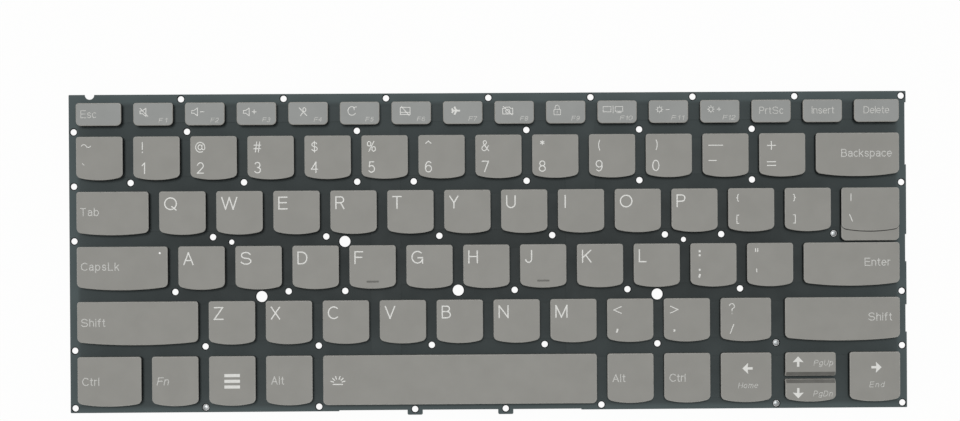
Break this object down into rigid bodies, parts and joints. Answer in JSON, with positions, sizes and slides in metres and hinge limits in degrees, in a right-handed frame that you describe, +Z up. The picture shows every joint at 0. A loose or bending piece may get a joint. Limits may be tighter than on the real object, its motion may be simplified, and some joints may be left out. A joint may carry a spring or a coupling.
{
  "type": "laptop keyboard",
  "caption": "Laptop replacement keyboard: a thin stamped plate with rivet holes carries low grey scissor-link keys whose front edges are bowed; the typing keys press down.",
  "frame": {"origin": "middle of the outline from above, on the plate's underside", "axes": "+X to the typist's right, +Y away from the typist, +Z up through the key tops"},
  "size_m": [0.2816, 0.108, 0.0044],
  "materials": {
    "coated_steel": "matte dark slate coat",
    "film": "matte dark polyester film",
    "dome_rubber": "matte translucent silicone",
    "link_plastic": "satin moulded plastic",
    "spring_wire": "drawn wire",
    "key_plastic": "matte warm grey paint"
  },
  "bodies": {
    "deck": {"base_plate": "coated_steel", "contact_film": "film", "function_and_control_keys": "key_plastic", "levelling_bars": "spring_wire", "rubber_domes": "dome_rubber", "scissor_links": "link_plastic"},
    "key_0": {"key_0": "key_plastic"},
    "key_1": {"key_1": "key_plastic"},
    "key_2": {"key_2": "key_plastic"},
    "key_3": {"key_3": "key_plastic"},
    "key_4": {"key_4": "key_plastic"},
    "key_5": {"key_5": "key_plastic"},
    "key_6": {"key_6": "key_plastic"},
    "key_7": {"key_7": "key_plastic"},
    "key_8": {"key_8": "key_plastic"},
    "key_9": {"key_9": "key_plastic"},
    "key_a": {"key_a": "key_plastic"},
    "key_b": {"key_b": "key_plastic"},
    "key_backslash": {"key_backslash": "key_plastic"},
    "key_backspace": {"key_backspace": "key_plastic"},
    "key_c": {"key_c": "key_plastic"},
    "key_caps_lock": {"key_caps_lock": "key_plastic"},
    "key_comma": {"key_comma": "key_plastic"},
    "key_d": {"key_d": "key_plastic"},
    "key_e": {"key_e": "key_plastic"},
    "key_enter": {"key_enter": "key_plastic"},
    "key_equals": {"key_equals": "key_plastic"},
    "key_f": {"key_f": "key_plastic"},
    "key_g": {"key_g": "key_plastic"},
    "key_grave": {"key_grave": "key_plastic"},
    "key_h": {"key_h": "key_plastic"},
    "key_i": {"key_i": "key_plastic"},
    "key_j": {"key_j": "key_plastic"},
    "key_k": {"key_k": "key_plastic"},
    "key_l": {"key_l": "key_plastic"},
    "key_left_bracket": {"key_left_bracket": "key_plastic"},
    "key_left_shift": {"key_left_shift": "key_plastic"},
    "key_m": {"key_m": "key_plastic"},
    "key_minus": {"key_minus": "key_plastic"},
    "key_n": {"key_n": "key_plastic"},
    "key_o": {"key_o": "key_plastic"},
    "key_p": {"key_p": "key_plastic"},
    "key_period": {"key_period": "key_plastic"},
    "key_q": {"key_q": "key_plastic"},
    "key_quote": {"key_quote": "key_plastic"},
    "key_r": {"key_r": "key_plastic"},
    "key_right_bracket": {"key_right_bracket": "key_plastic"},
    "key_right_shift": {"key_right_shift": "key_plastic"},
    "key_s": {"key_s": "key_plastic"},
    "key_semicolon": {"key_semicolon": "key_plastic"},
    "key_slash": {"key_slash": "key_plastic"},
    "key_space": {"key_space": "key_plastic"},
    "key_t": {"key_t": "key_plastic"},
    "key_tab": {"key_tab": "key_plastic"},
    "key_u": {"key_u": "key_plastic"},
    "key_v": {"key_v": "key_plastic"},
    "key_w": {"key_w": "key_plastic"},
    "key_x": {"key_x": "key_plastic"},
    "key_y": {"key_y": "key_plastic"},
    "key_z": {"key_z": "key_plastic"}
  },
  "joints": [
    {"name": "key_0_press", "type": "slide", "parent": "deck", "child": "key_0", "axis": [0, 0, -1], "range_m": [0, 0.0014], "stiffness_N_per_m": 300, "springref_m": -0.0009, "deforming": ["rubber_domes", "scissor_links"]},
    {"name": "key_1_press", "type": "slide", "parent": "deck", "child": "key_1", "axis": [0, 0, -1], "range_m": [0, 0.0014], "stiffness_N_per_m": 300, "springref_m": -0.0009, "deforming": ["rubber_domes", "scissor_links"]},
    {"name": "key_2_press", "type": "slide", "parent": "deck", "child": "key_2", "axis": [0, 0, -1], "range_m": [0, 0.0014], "stiffness_N_per_m": 300, "springref_m": -0.0009, "deforming": ["rubber_domes", "scissor_links"]},
    {"name": "key_3_press", "type": "slide", "parent": "deck", "child": "key_3", "axis": [0, 0, -1], "range_m": [0, 0.0014], "stiffness_N_per_m": 300, "springref_m": -0.0009, "deforming": ["rubber_domes", "scissor_links"]},
    {"name": "key_4_press", "type": "slide", "parent": "deck", "child": "key_4", "axis": [0, 0, -1], "range_m": [0, 0.0014], "stiffness_N_per_m": 300, "springref_m": -0.0009, "deforming": ["rubber_domes", "scissor_links"]},
    {"name": "key_5_press", "type": "slide", "parent": "deck", "child": "key_5", "axis": [0, 0, -1], "range_m": [0, 0.0014], "stiffness_N_per_m": 300, "springref_m": -0.0009, "deforming": ["rubber_domes", "scissor_links"]},
    {"name": "key_6_press", "type": "slide", "parent": "deck", "child": "key_6", "axis": [0, 0, -1], "range_m": [0, 0.0014], "stiffness_N_per_m": 300, "springref_m": -0.0009, "deforming": ["rubber_domes", "scissor_links"]},
    {"name": "key_7_press", "type": "slide", "parent": "deck", "child": "key_7", "axis": [0, 0, -1], "range_m": [0, 0.0014], "stiffness_N_per_m": 300, "springref_m": -0.0009, "deforming": ["rubber_domes", "scissor_links"]},
    {"name": "key_8_press", "type": "slide", "parent": "deck", "child": "key_8", "axis": [0, 0, -1], "range_m": [0, 0.0014], "stiffness_N_per_m": 300, "springref_m": -0.0009, "deforming": ["rubber_domes", "scissor_links"]},
    {"name": "key_9_press", "type": "slide", "parent": "deck", "child": "key_9", "axis": [0, 0, -1], "range_m": [0, 0.0014], "stiffness_N_per_m": 300, "springref_m": -0.0009, "deforming": ["rubber_domes", "scissor_links"]},
    {"name": "key_a_press", "type": "slide", "parent": "deck", "child": "key_a", "axis": [0, 0, -1], "range_m": [0, 0.0014], "stiffness_N_per_m": 300, "springref_m": -0.0009, "deforming": ["rubber_domes", "scissor_links"]},
    {"name": "key_b_press", "type": "slide", "parent": "deck", "child": "key_b", "axis": [0, 0, -1], "range_m": [0, 0.0014], "stiffness_N_per_m": 300, "springref_m": -0.0009, "deforming": ["rubber_domes", "scissor_links"]},
    {"name": "key_backslash_press", "type": "slide", "parent": "deck", "child": "key_backslash", "axis": [0, 0, -1], "range_m": [0, 0.0014], "stiffness_N_per_m": 300, "springref_m": -0.0009, "deforming": ["rubber_domes", "scissor_links"]},
    {"name": "key_backspace_press", "type": "slide", "parent": "deck", "child": "key_backspace", "axis": [0, 0, -1], "range_m": [0, 0.0014], "stiffness_N_per_m": 300, "springref_m": -0.0009, "deforming": ["rubber_domes", "scissor_links", "levelling_bars"]},
    {"name": "key_c_press", "type": "slide", "parent": "deck", "child": "key_c", "axis": [0, 0, -1], "range_m": [0, 0.0014], "stiffness_N_per_m": 300, "springref_m": -0.0009, "deforming": ["rubber_domes", "scissor_links"]},
    {"name": "key_caps_lock_press", "type": "slide", "parent": "deck", "child": "key_caps_lock", "axis": [0, 0, -1], "range_m": [0, 0.0014], "stiffness_N_per_m": 300, "springref_m": -0.0009, "deforming": ["rubber_domes", "scissor_links", "levelling_bars"]},
    {"name": "key_comma_press", "type": "slide", "parent": "deck", "child": "key_comma", "axis": [0, 0, -1], "range_m": [0, 0.0014], "stiffness_N_per_m": 300, "springref_m": -0.0009, "deforming": ["rubber_domes", "scissor_links"]},
    {"name": "key_d_press", "type": "slide", "parent": "deck", "child": "key_d", "axis": [0, 0, -1], "range_m": [0, 0.0014], "stiffness_N_per_m": 300, "springref_m": -0.0009, "deforming": ["rubber_domes", "scissor_links"]},
    {"name": "key_e_press", "type": "slide", "parent": "deck", "child": "key_e", "axis": [0, 0, -1], "range_m": [0, 0.0014], "stiffness_N_per_m": 300, "springref_m": -0.0009, "deforming": ["rubber_domes", "scissor_links"]},
    {"name": "key_enter_press", "type": "slide", "parent": "deck", "child": "key_enter", "axis": [0, 0, -1], "range_m": [0, 0.0014], "stiffness_N_per_m": 300, "springref_m": -0.0009, "deforming": ["rubber_domes", "scissor_links", "levelling_bars"]},
    {"name": "key_equals_press", "type": "slide", "parent": "deck", "child": "key_equals", "axis": [0, 0, -1], "range_m": [0, 0.0014], "stiffness_N_per_m": 300, "springref_m": -0.0009, "deforming": ["rubber_domes", "scissor_links"]},
    {"name": "key_f_press", "type": "slide", "parent": "deck", "child": "key_f", "axis": [0, 0, -1], "range_m": [0, 0.0014], "stiffness_N_per_m": 300, "springref_m": -0.0009, "deforming": ["rubber_domes", "scissor_links"]},
    {"name": "key_g_press", "type": "slide", "parent": "deck", "child": "key_g", "axis": [0, 0, -1], "range_m": [0, 0.0014], "stiffness_N_per_m": 300, "springref_m": -0.0009, "deforming": ["rubber_domes", "scissor_links"]},
    {"name": "key_grave_press", "type": "slide", "parent": "deck", "child": "key_grave", "axis": [0, 0, -1], "range_m": [0, 0.0014], "stiffness_N_per_m": 300, "springref_m": -0.0009, "deforming": ["rubber_domes", "scissor_links"]},
    {"name": "key_h_press", "type": "slide", "parent": "deck", "child": "key_h", "axis": [0, 0, -1], "range_m": [0, 0.0014], "stiffness_N_per_m": 300, "springref_m": -0.0009, "deforming": ["rubber_domes", "scissor_links"]},
    {"name": "key_i_press", "type": "slide", "parent": "deck", "child": "key_i", "axis": [0, 0, -1], "range_m": [0, 0.0014], "stiffness_N_per_m": 300, "springref_m": -0.0009, "deforming": ["rubber_domes", "scissor_links"]},
    {"name": "key_j_press", "type": "slide", "parent": "deck", "child": "key_j", "axis": [0, 0, -1], "range_m": [0, 0.0014], "stiffness_N_per_m": 300, "springref_m": -0.0009, "deforming": ["rubber_domes", "scissor_links"]},
    {"name": "key_k_press", "type": "slide", "parent": "deck", "child": "key_k", "axis": [0, 0, -1], "range_m": [0, 0.0014], "stiffness_N_per_m": 300, "springref_m": -0.0009, "deforming": ["rubber_domes", "scissor_links"]},
    {"name": "key_l_press", "type": "slide", "parent": "deck", "child": "key_l", "axis": [0, 0, -1], "range_m": [0, 0.0014], "stiffness_N_per_m": 300, "springref_m": -0.0009, "deforming": ["rubber_domes", "scissor_links"]},
    {"name": "key_left_bracket_press", "type": "slide", "parent": "deck", "child": "key_left_bracket", "axis": [0, 0, -1], "range_m": [0, 0.0014], "stiffness_N_per_m": 300, "springref_m": -0.0009, "deforming": ["rubber_domes", "scissor_links"]},
    {"name": "key_left_shift_press", "type": "slide", "parent": "deck", "child": "key_left_shift", "axis": [0, 0, -1], "range_m": [0, 0.0014], "stiffness_N_per_m": 300, "springref_m": -0.0009, "deforming": ["rubber_domes", "scissor_links", "levelling_bars"]},
    {"name": "key_m_press", "type": "slide", "parent": "deck", "child": "key_m", "axis": [0, 0, -1], "range_m": [0, 0.0014], "stiffness_N_per_m": 300, "springref_m": -0.0009, "deforming": ["rubber_domes", "scissor_links"]},
    {"name": "key_minus_press", "type": "slide", "parent": "deck", "child": "key_minus", "axis": [0, 0, -1], "range_m": [0, 0.0014], "stiffness_N_per_m": 300, "springref_m": -0.0009, "deforming": ["rubber_domes", "scissor_links"]},
    {"name": "key_n_press", "type": "slide", "parent": "deck", "child": "key_n", "axis": [0, 0, -1], "range_m": [0, 0.0014], "stiffness_N_per_m": 300, "springref_m": -0.0009, "deforming": ["rubber_domes", "scissor_links"]},
    {"name": "key_o_press", "type": "slide", "parent": "deck", "child": "key_o", "axis": [0, 0, -1], "range_m": [0, 0.0014], "stiffness_N_per_m": 300, "springref_m": -0.0009, "deforming": ["rubber_domes", "scissor_links"]},
    {"name": "key_p_press", "type": "slide", "parent": "deck", "child": "key_p", "axis": [0, 0, -1], "range_m": [0, 0.0014], "stiffness_N_per_m": 300, "springref_m": -0.0009, "deforming": ["rubber_domes", "scissor_links"]},
    {"name": "key_period_press", "type": "slide", "parent": "deck", "child": "key_period", "axis": [0, 0, -1], "range_m": [0, 0.0014], "stiffness_N_per_m": 300, "springref_m": -0.0009, "deforming": ["rubber_domes", "scissor_links"]},
    {"name": "key_q_press", "type": "slide", "parent": "deck", "child": "key_q", "axis": [0, 0, -1], "range_m": [0, 0.0014], "stiffness_N_per_m": 300, "springref_m": -0.0009, "deforming": ["rubber_domes", "scissor_links"]},
    {"name": "key_quote_press", "type": "slide", "parent": "deck", "child": "key_quote", "axis": [0, 0, -1], "range_m": [0, 0.0014], "stiffness_N_per_m": 300, "springref_m": -0.0009, "deforming": ["rubber_domes", "scissor_links"]},
    {"name": "key_r_press", "type": "slide", "parent": "deck", "child": "key_r", "axis": [0, 0, -1], "range_m": [0, 0.0014], "stiffness_N_per_m": 300, "springref_m": -0.0009, "deforming": ["rubber_domes", "scissor_links"]},
    {"name": "key_right_bracket_press", "type": "slide", "parent": "deck", "child": "key_right_bracket", "axis": [0, 0, -1], "range_m": [0, 0.0014], "stiffness_N_per_m": 300, "springref_m": -0.0009, "deforming": ["rubber_domes", "scissor_links"]},
    {"name": "key_right_shift_press", "type": "slide", "parent": "deck", "child": "key_right_shift", "axis": [0, 0, -1], "range_m": [0, 0.0014], "stiffness_N_per_m": 300, "springref_m": -0.0009, "deforming": ["rubber_domes", "scissor_links", "levelling_bars"]},
    {"name": "key_s_press", "type": "slide", "parent": "deck", "child": "key_s", "axis": [0, 0, -1], "range_m": [0, 0.0014], "stiffness_N_per_m": 300, "springref_m": -0.0009, "deforming": ["rubber_domes", "scissor_links"]},
    {"name": "key_semicolon_press", "type": "slide", "parent": "deck", "child": "key_semicolon", "axis": [0, 0, -1], "range_m": [0, 0.0014], "stiffness_N_per_m": 300, "springref_m": -0.0009, "deforming": ["rubber_domes", "scissor_links"]},
    {"name": "key_slash_press", "type": "slide", "parent": "deck", "child": "key_slash", "axis": [0, 0, -1], "range_m": [0, 0.0014], "stiffness_N_per_m": 300, "springref_m": -0.0009, "deforming": ["rubber_domes", "scissor_links"]},
    {"name": "key_space_press", "type": "slide", "parent": "deck", "child": "key_space", "axis": [0, 0, -1], "range_m": [0, 0.0014], "stiffness_N_per_m": 300, "springref_m": -0.0009, "deforming": ["rubber_domes", "scissor_links", "levelling_bars"]},
    {"name": "key_t_press", "type": "slide", "parent": "deck", "child": "key_t", "axis": [0, 0, -1], "range_m": [0, 0.0014], "stiffness_N_per_m": 300, "springref_m": -0.0009, "deforming": ["rubber_domes", "scissor_links"]},
    {"name": "key_tab_press", "type": "slide", "parent": "deck", "child": "key_tab", "axis": [0, 0, -1], "range_m": [0, 0.0014], "stiffness_N_per_m": 300, "springref_m": -0.0009, "deforming": ["rubber_domes", "scissor_links"]},
    {"name": "key_u_press", "type": "slide", "parent": "deck", "child": "key_u", "axis": [0, 0, -1], "range_m": [0, 0.0014], "stiffness_N_per_m": 300, "springref_m": -0.0009, "deforming": ["rubber_domes", "scissor_links"]},
    {"name": "key_v_press", "type": "slide", "parent": "deck", "child": "key_v", "axis": [0, 0, -1], "range_m": [0, 0.0014], "stiffness_N_per_m": 300, "springref_m": -0.0009, "deforming": ["rubber_domes", "scissor_links"]},
    {"name": "key_w_press", "type": "slide", "parent": "deck", "child": "key_w", "axis": [0, 0, -1], "range_m": [0, 0.0014], "stiffness_N_per_m": 300, "springref_m": -0.0009, "deforming": ["rubber_domes", "scissor_links"]},
    {"name": "key_x_press", "type": "slide", "parent": "deck", "child": "key_x", "axis": [0, 0, -1], "range_m": [0, 0.0014], "stiffness_N_per_m": 300, "springref_m": -0.0009, "deforming": ["rubber_domes", "scissor_links"]},
    {"name": "key_y_press", "type": "slide", "parent": "deck", "child": "key_y", "axis": [0, 0, -1], "range_m": [0, 0.0014], "stiffness_N_per_m": 300, "springref_m": -0.0009, "deforming": ["rubber_domes", "scissor_links"]},
    {"name": "key_z_press", "type": "slide", "parent": "deck", "child": "key_z", "axis": [0, 0, -1], "range_m": [0, 0.0014], "stiffness_N_per_m": 300, "springref_m": -0.0009, "deforming": ["rubber_domes", "scissor_links"]}
  ]
}
